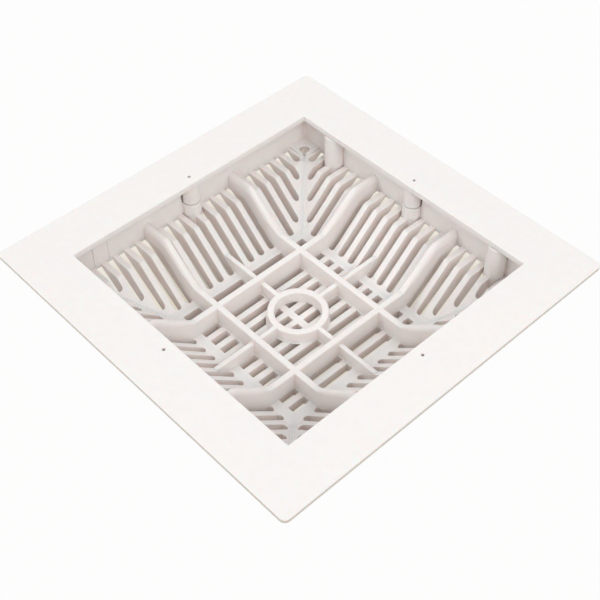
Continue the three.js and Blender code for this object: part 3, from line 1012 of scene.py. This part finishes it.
def moulded_plastic():
    material, tree, shader = new_material("satin_plastic")
    coordinates = tree.nodes.new("ShaderNodeTexCoord").outputs["Object"]
    cloud = noise(tree, coordinates, 9, 2)
    mottle = noise(tree, coordinates, 160, 4, 0.6)
    grain = noise(tree, coordinates, 2600, 2, 0.6)
    wear = edge_share(tree, 0.0007)
    warm, cool = linear(249, 244, 241), linear(248, 244, 242)
    tint = mixed(tree, mapped(tree, cloud, 0.3, 0.7, 0, 1), warm, cool)
    tint = mixed(tree, mapped(tree, mottle, 0.35, 0.65, 0, 0.5), tint, linear(246, 240, 237))
    # Rubbed edges are paler. Painted shade darkens and warms the slots and narrow gaps, and darkens the
    # upright outer rim.
    tint = mixed(tree, maths(tree, "MULTIPLY", wear, 0.5), tint, linear(250, 247, 245))
    # Painted shade: deep slots and corners turn warm brown by ambient occlusion.
    slot = maths(tree, "MULTIPLY", hollow_share(tree, 0.012, 0.7, 0.15), 0.45)
    tint = mixed(tree, slot, tint, linear(226, 203, 194))
    # Painted shade: narrow gaps go dark by ambient occlusion.
    crevice_shade = maths(tree, "MULTIPLY", hollow_share(tree, 0.003, 0.3, 0.05), 0.4)
    tint = mixed(tree, crevice_shade, tint, linear(120, 104, 96))
    # Painted shade: the upright outer edge of the face frame is darkened.
    tint = mixed(tree, rim_shade_mask(tree, coordinates), tint, linear(222, 217, 208))
    tree.links.new(tint, shader.inputs["Base Color"])
    gloss = mapped(tree, mottle, 0.3, 0.7, 0.3, 0.4)
    gloss = maths(tree, "ADD", gloss, mapped(tree, cloud, 0.3, 0.7, -0.03, 0.03))
    gloss = maths(tree, "SUBTRACT", gloss, maths(tree, "MULTIPLY", wear, 0.08))
    tree.links.new(gloss, shader.inputs["Roughness"])
    shader.inputs["IOR"].default_value = 1.49
    shader.inputs["Subsurface Weight"].default_value = 0.3
    shader.inputs["Subsurface Radius"].default_value = (1, 0.5, 0.4)
    shader.inputs["Subsurface Scale"].default_value = 0.004
    bump = tree.nodes.new("ShaderNodeBump")
    bump.inputs["Strength"].default_value = 0.12
    bump.inputs["Distance"].default_value = 0.00004
    height = maths(tree, "ADD", grain, maths(tree, "MULTIPLY", mottle, 1.5))
    tree.links.new(height, bump.inputs["Height"])
    tree.links.new(bump.outputs["Normal"], shader.inputs["Normal"])
    return material


def coated_steel():
    material, tree, shader = new_material("coated_steel")
    coordinates = tree.nodes.new("ShaderNodeTexCoord").outputs["Object"]
    patch = noise(tree, coordinates, 700, 4, 0.6)
    scratch = noise(tree, coordinates, 4200, 3, 0.7)
    wear = edge_share(tree, 0.0003)
    pale, dull = linear(232, 222, 215), linear(222, 212, 204)
    tint = mixed(tree, mapped(tree, patch, 0.35, 0.65, 0, 1), pale, dull)
    tint = mixed(tree, maths(tree, "MULTIPLY", wear, 0.5), tint, linear(206, 200, 194))
    tree.links.new(tint, shader.inputs["Base Color"])
    tree.links.new(maths(tree, "MULTIPLY", wear, 0.5), shader.inputs["Metallic"])
    gloss = mapped(tree, maths(tree, "ADD", patch, scratch), 0.7, 1.3, 0.4, 0.58)
    tree.links.new(gloss, shader.inputs["Roughness"])
    bump = tree.nodes.new("ShaderNodeBump")
    bump.inputs["Strength"].default_value = 0.2
    bump.inputs["Distance"].default_value = 0.00002
    tree.links.new(scratch, bump.inputs["Height"])
    tree.links.new(bump.outputs["Normal"], shader.inputs["Normal"])
    return material


# --- Stage ------------------------------------------------------------------------------


def new_camera():
    side = 2 * FACE_REACH * MM
    a, e = math.radians(VIEW_AZIMUTH), math.radians(VIEW_ELEVATION)
    back = Vector((math.sin(a) * math.cos(e), -math.cos(a) * math.cos(e), math.sin(e)))
    camera = bpy.data.objects.new("camera", bpy.data.cameras.new("camera"))
    bpy.context.scene.collection.objects.link(camera)
    camera.data.lens = LENS
    camera.data.sensor_width = 36
    aim = Vector((AIM[0] * side, AIM[1] * side, FACE * MM))
    camera.location = aim + back * DISTANCE * side
    camera.rotation_mode = "QUATERNION"
    roll = Quaternion((0, 0, 1), math.radians(VIEW_ROLL))
    camera.rotation_quaternion = (-back).to_track_quat("-Z", "Y") @ roll
    camera.data.clip_start = 0.01
    camera.data.clip_end = 20
    bpy.context.scene.camera = camera


def new_floor():
    """A plain floor, white to the camera away from the part and darker under it."""
    mesh = bpy.data.meshes.new("floor")
    r, z = STAGE_REACH, STAGE_LEVEL
    mesh.from_pydata([(-r, -r, z), (r, -r, z), (r, r, z), (-r, r, z)], [], [(0, 1, 2, 3)])
    floor = bpy.data.objects.new("floor", mesh)
    bpy.context.scene.collection.objects.link(floor)
    material = bpy.data.materials.new("white_floor")
    material.use_nodes = True
    tree = material.node_tree
    nodes, links = tree.nodes, tree.links
    nodes.clear()
    out = nodes.new("ShaderNodeOutputMaterial")
    mix = nodes.new("ShaderNodeMixShader")
    diffuse = nodes.new("ShaderNodeBsdfDiffuse")
    diffuse.inputs["Color"].default_value = (0.48, 0.44, 0.39, 1)
    glow = nodes.new("ShaderNodeEmission")
    path = nodes.new("ShaderNodeLightPath")
    seen = maths(tree, "MAXIMUM", path.outputs["Is Camera Ray"], path.outputs["Is Glossy Ray"])
    seen = maths(tree, "MAXIMUM", seen, path.outputs["Is Transmission Ray"])
    place = nodes.new("ShaderNodeSeparateXYZ")
    links.new(nodes.new("ShaderNodeTexCoord").outputs["Object"], place.inputs[0])
    across = []
    for axis, shift in SHADE_SHIFT.items():
        moved = maths(tree, "ADD", place.outputs[axis], shift)
        across.append(maths(tree, "ABSOLUTE", moved, 0))
    reach = maths(tree, "MAXIMUM", *across)
    near = mapped(tree, reach, *SHADE_CORE, *SHADE_GLOW)
    open_floor = mapped(tree, reach, *SHADE_EDGE, 0, 1)
    share = maths(tree, "ADD", near, maths(tree, "MULTIPLY", open_floor, 0.12))
    links.new(mixed(tree, open_floor, SHADE_COLOUR, [1, 1, 1]), glow.inputs["Color"])
    links.new(maths(tree, "MULTIPLY", seen, share), mix.inputs[0])
    links.new(diffuse.outputs[0], mix.inputs[1])
    links.new(glow.outputs[0], mix.inputs[2])
    links.new(mix.outputs[0], out.inputs[0])
    mesh.materials.append(material)


def area_light(name, place, size, power):
    data = bpy.data.lights.new(name, "AREA")
    data.shape = "SQUARE"
    data.size = size
    data.energy = power
    light = bpy.data.objects.new(name, data)
    bpy.context.scene.collection.objects.link(light)
    light.location = place
    light.rotation_mode = "QUATERNION"
    light.rotation_quaternion = (-Vector(place)).to_track_quat("-Z", "Y")


def new_world(strength):
    """Light from all round, and a white background."""
    world = bpy.data.worlds.new("studio")
    bpy.context.scene.world = world
    world.use_nodes = True
    tree = world.node_tree
    background = tree.nodes["Background"]
    background.inputs["Color"].default_value = (1, 1, 1, 1)
    path = tree.nodes.new("ShaderNodeLightPath")
    seen = maths(tree, "MAXIMUM", path.outputs["Is Camera Ray"], path.outputs["Is Transmission Ray"])
    tree.links.new(maths(tree, "MAXIMUM", seen, strength), background.inputs["Strength"])


# --- Assembly ---------------------------------------------------------------------------

plastic, coated = moulded_plastic(), coated_steel()


def moulded(piece, node):
    piece.name = node + "_moulded"
    return finished(piece, node, plastic)


slot_loops = basket_loops()
basket_plan = Plan(slot_loops)
moulded(panel(basket_plan, slot_loops, "floor"), "floor_grille")
for side, turn in SIDES.items():
    moulded(side_panel(basket_plan, slot_loops, side, turn), f"side_grille_{side}")
    for hand, sign in (("left", -1), ("right", 1)):
        moulded(slope_rib(sign * RIB_PLACE, turn), f"slope_rib_{side}_{hand}")
moulded(collar(), "rim_collar")
moulded(face_frame(), "face_frame")
moulded(lattice(), "floor_ribs")

screws = [(f"frame_screw_{side}", 3.5, 1.2, True) for side in SIDES]
screws += [(f"corner_screw_{corner}", 4.2, 1.5, False) for corner in CORNERS]
for node, shank, thread_pitch, up in screws:
    low, high = span(node)
    x, y = (low.x + high.x) / 2, (low.y + high.y) / 2
    level = low.z + SCREW_HEAD if up else high.z - SCREW_HEAD
    length = high.z - low.z - SCREW_HEAD
    piece = screw(x, y, level, shank, high.x - low.x, SCREW_HEAD, length, up, thread_pitch)
    piece.name = node + "_steel"
    finished(piece, node, coated)

bpy.context.scene.view_settings.view_transform = "Standard"
new_camera()
new_floor()
new_world(0.68)
area_light("key", (5.7, -2.25, 5.85), size=3.75, power=198)
area_light("side", (-3.6, -5.4, 4.35), size=2.55, power=81)
area_light("top", (-1.8, 1.8, 4.35), size=2.7, power=22)
